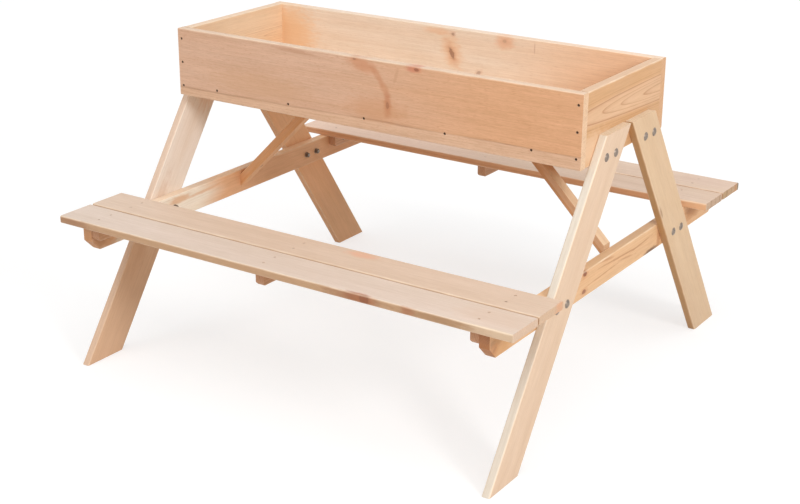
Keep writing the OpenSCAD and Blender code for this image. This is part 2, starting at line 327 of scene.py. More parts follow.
class Board(Pattern):
    def __init__(self, name, node, along, face, seed):
        super().__init__(name)
        self.along, self.face = Vector(along).normalized(), Vector(face).normalized()
        self.across = self.face.cross(self.along)
        self.seed = seed
        low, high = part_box(node)
        turn = Matrix((self.along, self.across, self.face)).transposed().to_euler()
        self.place = self.seen_from(self.position(), (low + high) / 2, turn)
        self.s, self.w, self.t = self.add("SeparateXYZ", {0: self.place}).outputs

    def grain(self, length, width, detail=2.0, rough=0.5, shift=0.0):
        start = (self.seed * 1.7 + shift, self.seed * 0.9 + shift, self.seed * 0.37 - shift)
        return self.noise(self.seen_from(self.place, start, size=(length, width, width)),
                          detail, rough)

    def oval(self, s, w, half_length, half_width, angle):
        """Distance from the middle of a spot, 1 at its ragged rim"""
        spot = self.seen_from(self.place, (s, w, 0), (0, 0, radians(angle)),
                              (half_length, half_width, ENDLESS))
        ragged = self.spread(self.grain(0.016, 0.006, 3.0, 0.6, shift=s), 0.7, 1.3)
        return self.math("MULTIPLY", self.vector("LENGTH", spot), ragged)

    def faces(self, direction, start, stop):
        """1 where the surface looks along a direction or straight back from it"""
        turned_to = self.vector("DOT_PRODUCT", self.normal(), tuple(direction))
        return self.fade(self.math("ABSOLUTE", turned_to), start, stop)


low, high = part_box("tub_front_board")
print("front board, mm:", *[round(size / MM) for size in high - low])

# %% [markdown]
# ## Growth rings
#
# Each year adds a wide pale layer and then a thin dark one. The distance from
# the pith, divided by the width of a year, counts the years, and what is left
# over after the whole years picks the tone. One noise makes the lines waver,
# another makes some years wide and some narrow. A knot pushes the years aside.

# %% Draw the rings
USUAL_RING = 4 * MM


def growth_rings(wood, ring, pith, tilt, wander, calm, knots):
    heart = wood.seen_from(wood.place, (0, *pith), (0, -tilt[0], tilt[1]), (ENDLESS, 1, 1))
    radius = wood.vector("LENGTH", heart)
    radius = wood.math("MULTIPLY_ADD", wood.grain(0.30, 0.07), wander, radius)
    radius = wood.math("MULTIPLY_ADD", wood.grain(0.05, 0.012, shift=3.0), wander * 0.2, radius)

    spots = []
    for s, w, r, stretch, angle, strength in knots:
        spot = wood.oval(s, w, r * stretch, r, angle)
        radius = wood.math("MULTIPLY_ADD", wood.fade(spot, 3.2, 0.4), 0.45 * r + ring, radius)
        spots.append((spot, strength))

    years = wood.math("DIVIDE", radius, ring)
    years = wood.math("MULTIPLY_ADD", wood.noise_along(years, 0.37), 1.3, years)
    dark = wood.ramp(wood.math("FRACT", years), [
        (0.0, grey(0.10)), (0.10, grey(0.0)), (0.60, grey(0.06)),
        (0.82, grey(0.35)), (0.93, grey(1.0)), (1.0, grey(0.10))]).outputs["Color"]
    dark = wood.math("MULTIPLY", dark, wood.spread(wood.noise_along(years, 0.23), 0.3, 1.0))
    if calm:
        full, faint = calm
        dark = wood.math("MULTIPLY", dark, wood.fade(radius, faint, full, 0.12, 1.0))
    return radius, dark, spots


print("years across the front board:", round((high - low).z / USUAL_RING))

# %% [markdown]
# ## Ground colour
#
# Under the lines a board has broad bands of two close tones. Some boards have
# more: a heart of another tone (`core`), a slow change from one end to the other
# (`drift`), or pale sapwood along one edge with a thin brown line where it
# begins (`sap`). On some boards the slow change paints light and shade that fall
# on that part, and those boards say so. The middle of a noise is one half, so
# half of what a noise adds is taken off again, and the change and the line stay
# where they should. The narrow sides and the sawn ends get tones of their own;
# on some boards a narrow side's tone is partly painted shade, and on the front
# right leg partly a painted highlight.

# %% Lay the ground colour
SAP_LINE, WAVER, SWAY = 2.6 * MM, 12 * MM, 80 * MM


def ground_colour(wood, tones, radius, core, drift, sap):
    colour = wood.blend(wood.spread(wood.grain(0.45, 0.035, shift=11.0), 0.0, 1.0), *tones)
    if core:
        tone, start, stop = core
        colour = wood.blend(wood.fade(radius, start, stop), colour, tone)
    if drift:
        tone, start, stop = drift
        where = wood.math("MULTIPLY_ADD", wood.grain(0.3, 0.03, shift=4.0), SWAY, wood.s)
        change = wood.fade(where, start + SWAY / 2, stop + SWAY / 2)
        colour = wood.blend(change, colour, tone)
    if sap:
        tone, level, slope = sap
        line = wood.math("MULTIPLY_ADD", wood.s, -slope, wood.w)
        line = wood.math("MULTIPLY_ADD", wood.grain(0.22, 0.05, shift=6.0), WAVER, line)
        line = wood.math("SUBTRACT", line, level + WAVER / 2)
        colour = wood.blend(wood.fade(line, 0.0016, -0.0016), colour, tone)
        faint = wood.spread(wood.grain(0.12, 0.05, shift=12.0), 0.05, 0.50)
        seam = wood.fade(wood.math("ABSOLUTE", line), SAP_LINE, 0.4 * MM)
        colour = wood.blend(wood.math("MULTIPLY", seam, faint), colour, paint(150, 104, 76))
    return colour


def sides_and_ends(wood, colour, edge, end):
    if edge:
        tone, amount = edge
        narrow = wood.faces(wood.across, 0.6, 0.8)
        colour = wood.blend(wood.math("MULTIPLY", narrow, amount), colour, tone)
    tone, amount = end
    pores = wood.spread(wood.grain(0.0016, 0.0009, 2.0, shift=9.0), 0.84, 1.08)
    sawn = wood.vector("SCALE", wood.blend(amount, colour, tone))
    wood.feed(sawn.node.inputs["Scale"], pores)
    return wood.blend(wood.faces(wood.along, 0.5, 0.8), colour, sawn)


print("sapwood line, mm wide:", round(2 * SAP_LINE / MM, 1))

# %% [markdown]
# ## Glazes
#
# A painter who imitates wood lays thin glazes over a ground, and so does this
# step. The rings come first, as a brown glaze that is darker on the sawn ends.
# Then come streaks, mottles, flecks and fibres, each only a few hundredths darker
# or lighter. Blue follows them more than red, so that darker wood is also warmer
# wood. Short dark dashes on top are the resin canals that the plane cut open.

# %% Glaze the board
RING_BROWN = (0.60, 0.40, 0.26, 1.0)
DASH = (11 * MM, 1 * MM)


def glazed(wood, colour, dark, fibre, lines, streaks, dashes):
    strength = wood.math("MULTIPLY_ADD", wood.faces(wood.along, 0.5, 0.8), 0.35, lines)
    colour = wood.blend(wood.math("MULTIPLY", dark, strength), colour, RING_BROWN, "MULTIPLY")
    # Of each layer: length and width, detail, roughness, shift and strength
    streak = (0.18, 0.0055, 3.0, 0.6, 5.0, 0.055 * streaks)
    mottle = (0.07, 0.022, 2.0, 0.5, 13.0, 0.030)
    fleck = (0.022, 0.0024, 2.0, 0.6, 8.0, 0.045 * streaks)
    glaze = 1.0
    for *how, strength in (streak, mottle, fleck):
        tone = wood.spread(wood.grain(*how), -1.0, 1.0)
        glaze = wood.math("MULTIPLY_ADD", tone, strength, glaze)
    glaze = wood.math("MULTIPLY_ADD", fibre, 0.05, glaze)
    warm = wood.add("CombineXYZ", {0: wood.math("POWER", glaze, 0.8), 1: glaze,
                                   2: wood.math("POWER", glaze, 1.3)})
    colour = wood.vector("MULTIPLY", colour, warm.outputs[0])
    dash = wood.fade(wood.grain(*DASH, 1.0, 0.5, shift=15.0), 0.60, 0.74, 0.0, dashes)
    return wood.blend(dash, colour, paint(184, 120, 82))


print("resin dashes, mm long and wide:", *[round(size / MM) for size in DASH])

# %% [markdown]
# ## Stains, knots and lighter edges
#
# No noise puts a knot where the real board has one, so the knots, stains and
# small marks are placed one by one, by the place in the board's frame where the
# photograph shows them. Some marks are painted shade, such as a shadow across a
# board or a dark line where two parts meet, and the boards that have them say
# so. A knot has a red-brown heart, a dark rim and a warm halo. Last, the long
# edges are a little lighter: partly wear, partly a painted highlight of the light
# that their rounded arrises catch.

# %% Mark the board
HALO, RUB_AND_SHEEN_WIDTH, BARE = 3.0, 3.5 * MM, 0.6 * MM


def marked(wood, colour, marks, spots, size, rub_and_sheen):
    for s, w, half_length, half_width, angle, tone, amount in marks:
        spot = wood.oval(s, w, half_length, half_width, angle)
        colour = wood.blend(wood.fade(spot, 1.15, 0.35, 0.0, amount), colour, tone)
    for spot, strength in spots:
        band = wood.ramp(wood.math("DIVIDE", spot, HALO), [
            (0.0, paint(120, 62, 36, 0.95 * strength)),
            (0.20, paint(150, 82, 46, 0.90 * strength)),
            (0.29, paint(104, 54, 30, 0.95 * strength)),
            (0.36, paint(176, 104, 62, 0.60 * strength)),
            (0.55, paint(204, 132, 84, 0.35 * strength)),
            (1.0, paint(214, 150, 104, 0.0))])
        colour = wood.blend(band.outputs["Alpha"], colour, band.outputs["Color"])
    # Lighter long edges: partly wear, partly a painted highlight.
    near = [wood.fade(wood.math("ABSOLUTE", way), whole / 2 - RUB_AND_SHEEN_WIDTH, whole / 2 - BARE)
            for way, whole in zip((wood.w, wood.t), size[1:])]
    wear_and_sheen = wood.spread(wood.grain(0.05, 0.02, shift=2.0), 0.1 * rub_and_sheen, rub_and_sheen)
    wear_and_sheen = wood.math("MULTIPLY", wood.math("MULTIPLY", *near), wear_and_sheen)
    return wood.blend(wear_and_sheen, colour, paint(250, 230, 204))


print("rubbed strip, mm wide:", RUB_AND_SHEEN_WIDTH / MM)

# %% [markdown]
# ## A whole board
#
# `softwood` puts the steps together for one node of the CAD model and hands the
# finish to that node's own object, whose shape stays as it is. The dark lines
# are a trace higher and smoother than the pale wood, because they are harder
# and the plane leaves them proud.
#
# `size` is the board's length, width and thickness, and `seed` moves its noise.
# `edge` and `end` are a tone and how well it covers. A knot is its place, radius,
# stretch, angle and strength. A mark is its place, half its length, half its
# width, angle, tone and strength.

# %% Finish a board
finished = []


def softwood(name, node, along, face, size, tones, seed, ring=USUAL_RING,
             pith=(0.12, -0.08), tilt=(0.01, 0.01), lines=0.3, wander=0.004, calm=None,
             streaks=1.0, dashes=0.08, drift=None, sap=None, core=None, edge=None,
             end=(paint(196, 150, 112), 0.8), rub_and_sheen=0.75, knots=(), marks=()):
    wood = Board(name, node, along, face, seed)
    fibre = wood.spread(wood.grain(0.05, 0.0009, 2.0, 0.7, shift=7.0), -1.0, 1.0)
    radius, dark, spots = growth_rings(wood, ring, pith, tilt, wander, calm, knots)
    colour = ground_colour(wood, tones, radius, core, drift, sap)
    colour = sides_and_ends(wood, colour, edge, end)
    colour = glazed(wood, colour, dark, fibre, lines, streaks, dashes)
    colour = marked(wood, colour, marks, spots, size, rub_and_sheen)

    height = wood.math("MULTIPLY_ADD", dark, 0.35, wood.math("MULTIPLY", fibre, 0.10))
    bump = wood.add("Bump", {"Strength": 0.35, "Distance": 0.0006, "Height": height})
    roughness = wood.spread(wood.grain(0.10, 0.02, shift=1.0), 0.50, 0.64)
    wood.set(Base_Color=colour, Normal=bump.outputs["Normal"], Specular_IOR_Level=0.5,
             Roughness=wood.math("MULTIPLY_ADD", dark, -0.10, roughness))
    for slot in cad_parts[node].material_slots:
        slot.material = wood.material
    finished.append(node)
    print(name + ":", len(wood.tree.nodes), "nodes")


# %% [markdown]
# ## Tub
#
# Four planed boards, 135 mm high and 18 mm thick, nailed at the corners. The
# front one carries a branch's mark: a knot at the rim, a second one below it,
# and the streak between them, where the saw ran along the branch. A photograph
# wrapped round the board would show this from one side only, so each thing is
# said in numbers instead: a place, a size, an angle and a tone.

# %% Wood of the tub's long boards
tub_size = (900 * MM, 135 * MM, 18 * MM)
softwood("front_board_wood", "tub_front_board", X, -Y, tub_size,
         (paint(226, 190, 166), paint(216, 174, 144)), seed=1.0,
         pith=(-0.16, -0.07), ring=0.0042, lines=0.20, streaks=1.7, dashes=0.45, rub_and_sheen=0.5,
         drift=(paint(222, 172, 132), -0.15, 0.35),
         sap=(paint(222, 184, 154), -0.047, 0.008),
         edge=(paint(235, 208, 182), 0.85), end=(paint(236, 206, 174), 0.85),
         knots=[(0.053, -0.0135, 0.0034, 2.0, -90, 0.5), (0.116, 0.0625, 0.0028, 1.6, 0, 0.7),
                (-0.021, 0.064, 0.0022, 1.6, 0, 0.5)],
         marks=[(-0.005, 0.055, 0.036, 0.016, -14, paint(204, 134, 92), 0.55),
                (0.029, 0.042, 0.024, 0.009, -53, paint(200, 134, 94), 0.50),
                (0.046, 0.017, 0.024, 0.009, -60, paint(200, 134, 94), 0.48),
                (0.053, -0.014, 0.030, 0.011, -88, paint(188, 116, 78), 0.55),
                (0.0715, 0.044, 0.020, 0.004, -107, paint(196, 146, 112), 0.35),
                (0.110, 0.0635, 0.022, 0.008, 0, paint(204, 112, 88), 0.55),
                (-0.160, 0.060, 0.060, 0.005, -3, paint(186, 136, 104), 0.50),
                (-0.250, -0.020, 0.160, 0.030, 0, paint(208, 162, 122), 0.40),
                (0.030, -0.024, 0.080, 0.028, 0, paint(206, 150, 108), 0.50)])
# Back board: the lighter, more orange drift towards the right end is painted light that lifts the
# shade of that inner corner.
softwood("back_board_wood", "tub_back_board", X, -Y, tub_size,
         (paint(248, 232, 214), paint(244, 220, 196)), seed=2.0,
         pith=(-0.15, -0.09), ring=0.005, lines=0.18, dashes=0.20, rub_and_sheen=0.5,
         drift=(paint(250, 207, 170), 0.05, 0.40),
         edge=(paint(240, 214, 190), 0.85), end=(paint(216, 172, 130), 0.85),
         knots=[(-0.003, 0.0165, 0.0042, 2.6, -65, 0.75), (-0.001, 0.056, 0.0024, 1.3, 0, 0.6),
                (0.118, 0.057, 0.0030, 1.3, 0, 0.3), (0.060, -0.015, 0.0030, 1.8, 35, 0.5)],
         marks=[(-0.003, 0.020, 0.040, 0.026, -65, paint(238, 182, 132), 0.50),
                (-0.036, 0.058, 0.040, 0.009, 0, paint(238, 184, 138), 0.50),
                (0.118, 0.055, 0.026, 0.018, 0, paint(234, 166, 118), 0.50),
                (0.1845, 0.050, 0.014, 0.0018, 90, paint(190, 140, 110), 0.40),
                (-0.415, -0.010, 0.085, 0.110, 0, paint(243, 190, 132), 0.60)])
print("boards finished:", len(finished))

# %% [markdown]
# ## The tub's ends and floor
#
# The right end was sawn close to the middle of its tree, so its rings are bold
# arches that open towards the back: the pith lies inside the board, tilted, and
# the lines are drawn at full strength near it. The other end is the same kind
# of board, seen only from inside. The floor is a plywood panel that the sand
# hides, so it gets almost plain wood.

# %% Wood of the tub's ends and floor
end_size, panel_size = (294 * MM, 135 * MM, 18 * MM), (864 * MM, 294 * MM, 9 * MM)
softwood("right_end_wood", "tub_right_end", Y, X, end_size,
         (paint(225, 188, 152), paint(221, 181, 144)), seed=3.0,
         pith=(0.018, -0.0055), tilt=(0.05, -0.02), ring=0.0050, lines=1.0, wander=0.0014,
         calm=(0.026, 0.040), core=(paint(212, 168, 124), 0.024, 0.030),
         edge=(paint(228, 192, 160), 0.85),
         marks=[(-0.115, -0.040, 0.070, 0.036, 0, paint(236, 202, 170), 0.70)])
softwood("left_end_wood", "tub_left_end", Y, X, end_size,
         (paint(242, 216, 186), paint(238, 202, 164)), seed=4.0,
         pith=(0.01, 0.0), tilt=(0.05, -0.02), ring=0.003, lines=0.6, wander=0.003,
         calm=(0.02, 0.05), edge=(paint(238, 208, 180), 0.85))
softwood("floor_panel_wood", "tub_floor", X, Z, panel_size,
         (paint(222, 190, 150), paint(214, 180, 138)), seed=5.0,
         pith=(0.3, -0.5), ring=0.02)
print("boards finished:", len(finished))

# %% [markdown]
# ## Legs
#
# The four legs are one shape, but no two boards of it are alike. The front
# right one is pale, and its outer edge is almost white, which is partly a
# painted highlight of the light on that edge. The back right one has a dark
# inner edge, which is partly painted shade. The front left one is near white
# above the bench, which is painted light, and browner below it, which is the
# bench's painted shadow; a brown patch near its top is the tub's painted
# shadow. The back left one turns browner towards the foot. With one finish for
# all four they would look cast, so a table holds what is each leg's own, and a
# loop does the rest. The grain runs up along the lean.

# %% Wood of the legs
leg_lean = radians(34.716)
leg_size = (650 * MM, 80 * MM, 16 * MM)
leg_woods = [
    # Front right leg: the almost white edge tone is partly a painted highlight.
    ("leg_front_right", -1, 11.0, (paint(229, 204, 180), paint(223, 196, 170)),
     dict(edge=(paint(221, 211, 196), 0.95))),
    # Back right leg: the dark edge tone is partly painted shade.
    ("leg_back_right", 1, 12.0, (paint(223, 196, 163), paint(217, 187, 153)),
     dict(edge=(paint(188, 146, 98), 0.85),
          marks=[(0.09, 0.036, 0.018, 0.004, 0, paint(150, 105, 70), 0.6)])),
    # Front left leg: the pale tones are painted light, the browner drift below the bench is its
    # painted shadow, and the mark at 0.285 is the tub's painted shadow.
    ("leg_front_left", -1, 13.0, (paint(246, 234, 222), paint(242, 225, 209)),
     dict(drift=(paint(226, 190, 158), 0.02, -0.10), edge=(paint(216, 184, 158), 0.8), rub_and_sheen=0.3,
          marks=[(-0.04, 0.012, 0.12, 0.020, 0, paint(204, 160, 122), 0.45),
                 (0.285, -0.014, 0.070, 0.040, 0, paint(226, 164, 112), 0.50)])),
    ("leg_back_left", 1, 14.0, (paint(249, 199, 154), paint(241, 188, 142)),
     dict(drift=(paint(226, 180, 138), -0.05, -0.25), edge=(paint(212, 164, 122), 0.9),
          marks=[(0.24, 0.030, 0.040, 0.006, 0, paint(206, 130, 92), 0.5)])),
]
for name, leaning, seed, tones, own in leg_woods:
    grain_up = Vector((0, -leaning * sin(leg_lean), cos(leg_lean)))
    softwood(name + "_wood", name, grain_up, X, leg_size, tones, seed, lines=0.10,
             streaks=0.8, end=(paint(232, 212, 184), 0.8), **own)
print("boards finished:", len(finished))

# %% [markdown]
# ## Rails, braces and battens
#
# These sticks come from the rougher end of the stack: their wood is darker, a
# rail still has a little bark along one corner, and there is a smear of resin.
# Both are marks like the tub's, only long and thin, laid along the grain.

# %% Wood of the cross rails
rail_size = (913.6 * MM, 50 * MM, 20 * MM)
# Left rail: the near white tones of its front part are painted light, and the brown drift towards
# the back is the tub's painted shadow.
softwood("left_rail_wood", "cross_rail_left", Y, X, rail_size,
         (paint(253, 245, 232), paint(249, 236, 217)), seed=21.0, pith=(0.01, 0.03),
         ring=0.0035, lines=0.2, drift=(paint(232, 182, 140), -0.16, -0.06), rub_and_sheen=0.4,
         edge=(paint(232, 196, 158), 0.6), end=(paint(184, 130, 92), 0.85),
         knots=[(0.051, 0.009, 0.003, 1.6, 0, 0.5), (0.081, 0.021, 0.0022, 1.3, 0, 0.6),
                (-0.446, 0.008, 0.003, 1.5, 0, 0.5)],
         marks=[(-0.205, 0.012, 0.040, 0.010, 0, paint(222, 160, 98), 0.60),
                (-0.130, 0.010, 0.060, 0.004, 2, paint(222, 160, 98), 0.50),
                (-0.425, 0.000, 0.055, 0.045, 0, paint(218, 162, 108), 0.80),
                (-0.440, -0.004, 0.030, 0.020, 0, paint(176, 122, 84), 0.45),
                (-0.008, 0.006, 0.022, 0.0014, 84, paint(150, 100, 70), 0.60)])
softwood("right_rail_wood", "cross_rail_right", Y, X, rail_size,
         (paint(232, 194, 152), paint(226, 182, 138)), seed=22.0, pith=(-0.01, 0.04),
         ring=0.0035, lines=0.4, end=(paint(168, 110, 72), 0.90),
         knots=[(-0.125, 0.020, 0.0042, 1.5, 0, 1.0), (-0.126, -0.013, 0.0036, 1.7, 0, 0.9),
                (-0.440, -0.008, 0.003, 2.0, 40, 0.3)],
         marks=[(0.156, -0.023, 0.036, 0.0075, 0, paint(104, 70, 46), 0.90),
                (0.020, 0.008, 0.110, 0.0022, -3, paint(178, 116, 74), 0.60),
                (-0.050, -0.004, 0.080, 0.0018, 2, paint(182, 118, 76), 0.55),
                (0.110, 0.006, 0.060, 0.0020, 4, paint(178, 116, 74), 0.55),
                # Painted shade: a dark band where the back right leg meets the rail, then the
                # back bench's shadow across the rail.
                (0.188, 0.0, 0.010, 0.040, 0, paint(176, 112, 72), 0.50),
                (0.350, 0.005, 0.050, 0.020, 0, paint(184, 122, 60), 0.65),
                (-0.448, -0.010, 0.026, 0.020, 20, paint(176, 114, 66), 0.60),
                (-0.412, 0.000, 0.042, 0.040, 0, paint(200, 148, 94), 0.60),
                (-0.036, 0.020, 0.034, 0.003, -5, paint(186, 126, 86), 0.55),
                (0.046, -0.002, 0.038, 0.0024, -6, paint(186, 126, 86), 0.55)])
print("boards finished:", len(finished))

# %% [markdown]
# ## Braces and battens
#
# A brace leans at 45 degrees, so its grain runs along a diagonal of the room,
# and `along` and `face` say so. The six battens under the benches are cut from
# one stick, and a loop gives each its own seed, so that no two are alike.

# %% Wood of the braces and battens
brace_size, batten_size = (300 * MM, 25 * MM, 18 * MM), (147 * MM, 25 * MM, 18 * MM)
# Right brace: the brown drift towards its top end, under the tub, is the tub's painted shadow.
softwood("right_brace_wood", "brace_right", Z - X, Z + X, brace_size,
         (paint(240, 210, 176), paint(234, 198, 160)), seed=23.0, pith=(0.0, 0.05), rub_and_sheen=0.3,
         drift=(paint(200, 132, 78), -0.01, 0.05), edge=(paint(204, 146, 98), 0.9))
softwood("left_brace_wood", "brace_left", Z + X, Z - X, brace_size,
         (paint(237, 186, 135), paint(229, 175, 125)), seed=24.0, pith=(0.0, 0.05), rub_and_sheen=0.1,
         edge=(paint(222, 164, 114), 0.9),
         marks=[(-0.105, 0.0, 0.006, 0.004, 0, paint(150, 96, 62), 0.6)])
battens = [name for name in sorted(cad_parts) if name.startswith("batten_")]
battens.remove("batten_screws")
for number, name in enumerate(battens):
    softwood(name + "_wood", name, Y, X, batten_size,
             (paint(216, 174, 140), paint(206, 160, 124)), seed=30.0 + number,
             pith=(0.01, 0.03), lines=0.5, end=(paint(196, 148, 116), 0.7))
print("battens:", len(battens), "boards finished:", len(finished))

# %% [markdown]
# ## Seats
#
# The tops of the benches are the palest, pinkest wood on the table, and their
# narrow sides are browner, which is partly painted shade. The back benches are
# paler towards their left ends, which is painted light. The knot and the brown
# streak on the front edge are marks again. As with the legs, a table and a loop
# keep the four boards alike where they are alike.

# %% Wood of the seats
seat_size = (996 * MM, 83 * MM, 15 * MM)
# The browner narrow sides are partly painted shade.
seat_usual = dict(lines=0.14, streaks=0.8, edge=(paint(198, 161, 126), 0.95),
                  end=(paint(196, 170, 150), 0.85))
seat_woods = [
    ("seat_front_outer_board", 40.0, (paint(225, 206, 191), paint(219, 199, 182)),
     dict(knots=[(0.212, -0.0425, 0.0034, 2.6, 0, 0.40)],
          marks=[(0.200, -0.042, 0.034, 0.009, 0, paint(164, 92, 60), 0.75),
                 (0.214, -0.043, 0.012, 0.004, 0, paint(132, 72, 50), 0.60),
                 (0.462, -0.043, 0.070, 0.007, 0, paint(226, 204, 178), 0.75),
                 (-0.465, -0.043, 0.060, 0.004, 0, paint(160, 112, 82), 0.60),
                 (0.190, -0.0425, 0.075, 0.003, 0, paint(160, 108, 76), 0.60),
                 (0.300, -0.0425, 0.016, 0.004, 0, paint(178, 108, 78), 0.60),
                 (0.360, -0.0425, 0.110, 0.002, 0, paint(150, 112, 76), 0.50),
                 (0.440, 0.000, 0.090, 0.045, 0, paint(222, 184, 154), 0.20)],
          end=(paint(217, 190, 167), 0.85))),
    ("seat_front_inner_board", 41.0, (paint(223, 199, 178), paint(217, 191, 168)),
     dict(marks=[(0.102, 0.026, 0.038, 0.016, 0, paint(228, 176, 144), 0.75),
                 (0.502, 0.028, 0.008, 0.020, 0, paint(222, 156, 112), 0.55)],
          end=(paint(213, 183, 154), 0.85))),
    # Back inner seat: the paler drift towards the left end is painted light, and its browner edge
    # tone is partly painted shade.
    ("seat_back_inner_board", 42.0, (paint(231, 206, 185), paint(223, 196, 173)),
     dict(lines=0.5, ring=0.006, drift=(paint(250, 218, 196), 0.15, -0.25),
          edge=(paint(216, 160, 117), 0.95), end=(paint(196, 168, 142), 0.90),
          marks=[(0.475, -0.0430, 0.050, 0.008, 0, paint(244, 200, 160), 0.65),
                 (0.501, 0.030, 0.004, 0.006, 0, paint(140, 106, 76), 0.75),
                 (0.501, 0.008, 0.004, 0.004, 0, paint(150, 112, 78), 0.70),
                 (0.501, -0.014, 0.004, 0.006, 0, paint(146, 110, 78), 0.75)])),
    # Back outer seat: the paler drift towards the left end is painted light.
    ("seat_back_outer_board", 43.0, (paint(231, 206, 185), paint(223, 196, 173)),
     dict(lines=0.5, ring=0.006, drift=(paint(250, 218, 196), 0.15, -0.25),
          end=(paint(184, 152, 110), 0.90),
          marks=[(0.440, 0.010, 0.090, 0.035, 0, paint(214, 184, 168), 0.35),
                 (0.501, 0.042, 0.008, 0.008, 0, paint(76, 82, 84), 0.90),
                 (0.501, 0.026, 0.005, 0.008, 0, paint(188, 118, 66), 0.70),
                 (0.501, 0.004, 0.004, 0.005, 0, paint(150, 106, 56), 0.75),
                 (0.501, -0.020, 0.004, 0.006, 0, paint(118, 86, 52), 0.75)])),
]
for name, seed, tones, own in seat_woods:
    softwood(name + "_wood", name, X, Z, seat_size, tones, seed, **{**seat_usual, **own})
print("boards finished:", len(finished))

# %% [markdown]
# ## Steel
#
# The bolts, washers and nuts are plated with zinc that has gone dull. A flat
# grey would look like paint, so small spots of noise vary both how dark the
# metal is and how rough. The nails are all of one kind, but their metal comes in
# two copies: a dark brown one for the nails in the tub and the braces, which is
# painted shade, and a pale one for the heads on the benches, which face up, as a
# painted reflection of the bright room above them.

# %% Write the metals
def steel(name, tone, rough, metallic=0.9):
    metal, spot = Pattern(name), 3 * MM
    cloud = metal.noise(metal.seen_from(metal.position(), size=(spot,) * 3), 3.0, 0.65)
    scratch = metal.noise(metal.seen_from(metal.position(), size=(spot / 8, spot, spot / 3)))
    dark, pale = ((*[level * amount for level in tone[:3]], 1) for amount in (0.55, 1.25))
    shade = metal.ramp(cloud, [(0.30, dark), (0.50, tone), (0.72, pale)])
    rougher = metal.spread(cloud, rough + 0.06, rough - 0.10)
    bump = metal.add("Bump", {"Strength": 0.25, "Distance": 0.0002, "Height": scratch})
    metal.set(Base_Color=shade.outputs["Color"], Metallic=metallic,
              Roughness=metal.math("MULTIPLY_ADD", scratch, 0.12, rougher),
              Normal=bump.outputs["Normal"])
    return metal.material


dull_zinc = steel("dull_zinc", paint(146, 133, 122), 0.36)
nut_zinc = steel("nut_zinc", paint(122, 106, 90), 0.45)
# One nail metal twice: dark for painted shade, pale for a painted reflection.
nail_iron_painted_shade = steel("nail_iron_painted_shade", paint(84, 62, 48), 0.55, metallic=0.7)
nail_iron_painted_reflection = steel("nail_iron_painted_reflection", paint(206, 188, 174), 0.48)
print("metals:", [metal.name for metal in (dull_zinc, nut_zinc, nail_iron_painted_shade, nail_iron_painted_reflection)])

# %% [markdown]
# ## Turning and gathering
#
# Round parts are turned on a lathe, and `turned` does the same: a few points on
# one side of the axis, each a radius and a height, are spun right round it. A
# primitive cylinder would be quicker, but it has no crown, no bevel and no neck.
# `gathered` sets copies of one part at many places and makes them a single piece,
# because the CAD model keeps all bolts in one node, and the piece stands for that
# node.

# %% Turn a part, and gather many
def turned(points, steps, closed=False):
    part = bmesh.new()
    line = [part.verts.new((radius, 0, height)) for radius, height in points]
    pairs = list(zip(line, line[1:])) + ([(line[-1], line[0])] if closed else [])
    edges = [part.edges.new(pair) for pair in pairs]
    bmesh.ops.spin(part, geom=line + edges, cent=(0, 0, 0), axis=(0, 0, 1), dvec=(0, 0, 0),
                   angle=2 * pi, steps=steps, use_merge=True)
    bmesh.ops.remove_doubles(part, verts=part.verts, dist=1e-6)
    bmesh.ops.recalc_face_normals(part, faces=part.faces)
    return part


def gathered(name, places, finish, node, smooth=35):
    """places holds (part, place, direction that the part's +Z looks in), smooth is in degrees"""
    whole = bmesh.new()
    for part, place, outward in places:
        turn = Vector(outward).to_track_quat("Z", "Y").to_matrix().to_4x4()
        copy = bpy.data.meshes.new("copy")
        part.to_mesh(copy)
        copy.transform(Matrix.Translation(place) @ turn)
        whole.from_mesh(copy)
        bpy.data.meshes.remove(copy)
    mesh = bpy.data.meshes.new(name)
    whole.to_mesh(mesh)
    whole.free()
    mesh.materials.append(finish)
    mesh.shade_smooth()
    mesh.set_sharp_from_angle(angle=radians(smooth))
    piece = bpy.data.objects.new(name, mesh)
    bpy.context.scene.collection.objects.link(piece)
    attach(piece, "root")
    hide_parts(node)
    print(name + ":", len(places), "parts,", len(mesh.polygons), "faces")


def open_edges(part):
    return sum(not edge.is_manifold for edge in part.edges)


disc = turned([(0, 0), (1, 0), (1, 1), (0, 1)], 6)
print("corners and open edges of a test disc:", len(disc.verts), open_edges(disc))
disc.free()

# %% [markdown]
# ## Where the bolts sit
#
# Each leg is bolted twice to the tub's end and twice to the cross rail, sixteen
# bolts in all. Both bolts of a pair sit at one height, on either side of the
# leg's middle line, and that line leans, so `leg_y` gives its place at any
# height. A row is a height and a stack, which is what the bolt passes through:
# the leg and a rail, or the leg and an end board.

# %% Sizes of the bolts, and where they sit
bolt_d, bolt_head_d, bolt_head_h, bolt_neck = 6 * MM, 16 * MM, 3.4 * MM, 4 * MM
bolt_tail, bolt_pitch, thread = 3 * MM, 36 * MM, 1 * MM
washer_d, washer_t, nut_flats, nut_t = 12 * MM, 1.6 * MM, 10 * MM, 5 * MM
leg_face, feet_width, foot_cut = 466 * MM, 942 * MM, 97.33 * MM
rail_row, tub_row = (264 * MM, 36 * MM), (495.5 * MM, 34 * MM)


def leg_y(z):
    return (feet_width - foot_cut) / 2 - z * tan(leg_lean)


bolt_spots = [
    (Vector((side * leg_face, end * leg_y(z) + half * bolt_pitch / 2, z)), (side, 0, 0), stack)
    for side in (1, -1) for end in (1, -1) for z, stack in (rail_row, tub_row)
    for half in (1, -1)
]
print("bolts:", len(bolt_spots))

# %% [markdown]
# ## Carriage bolts
#
# A carriage bolt has a low dome without a slot, a square neck that bites into
# the wood, and a thread. The dome is a piece of a sphere, so its points follow
# from its width and height. A real thread climbs round the shank, but rings at
# the same pitch look the same at this size and stay one closed shape.

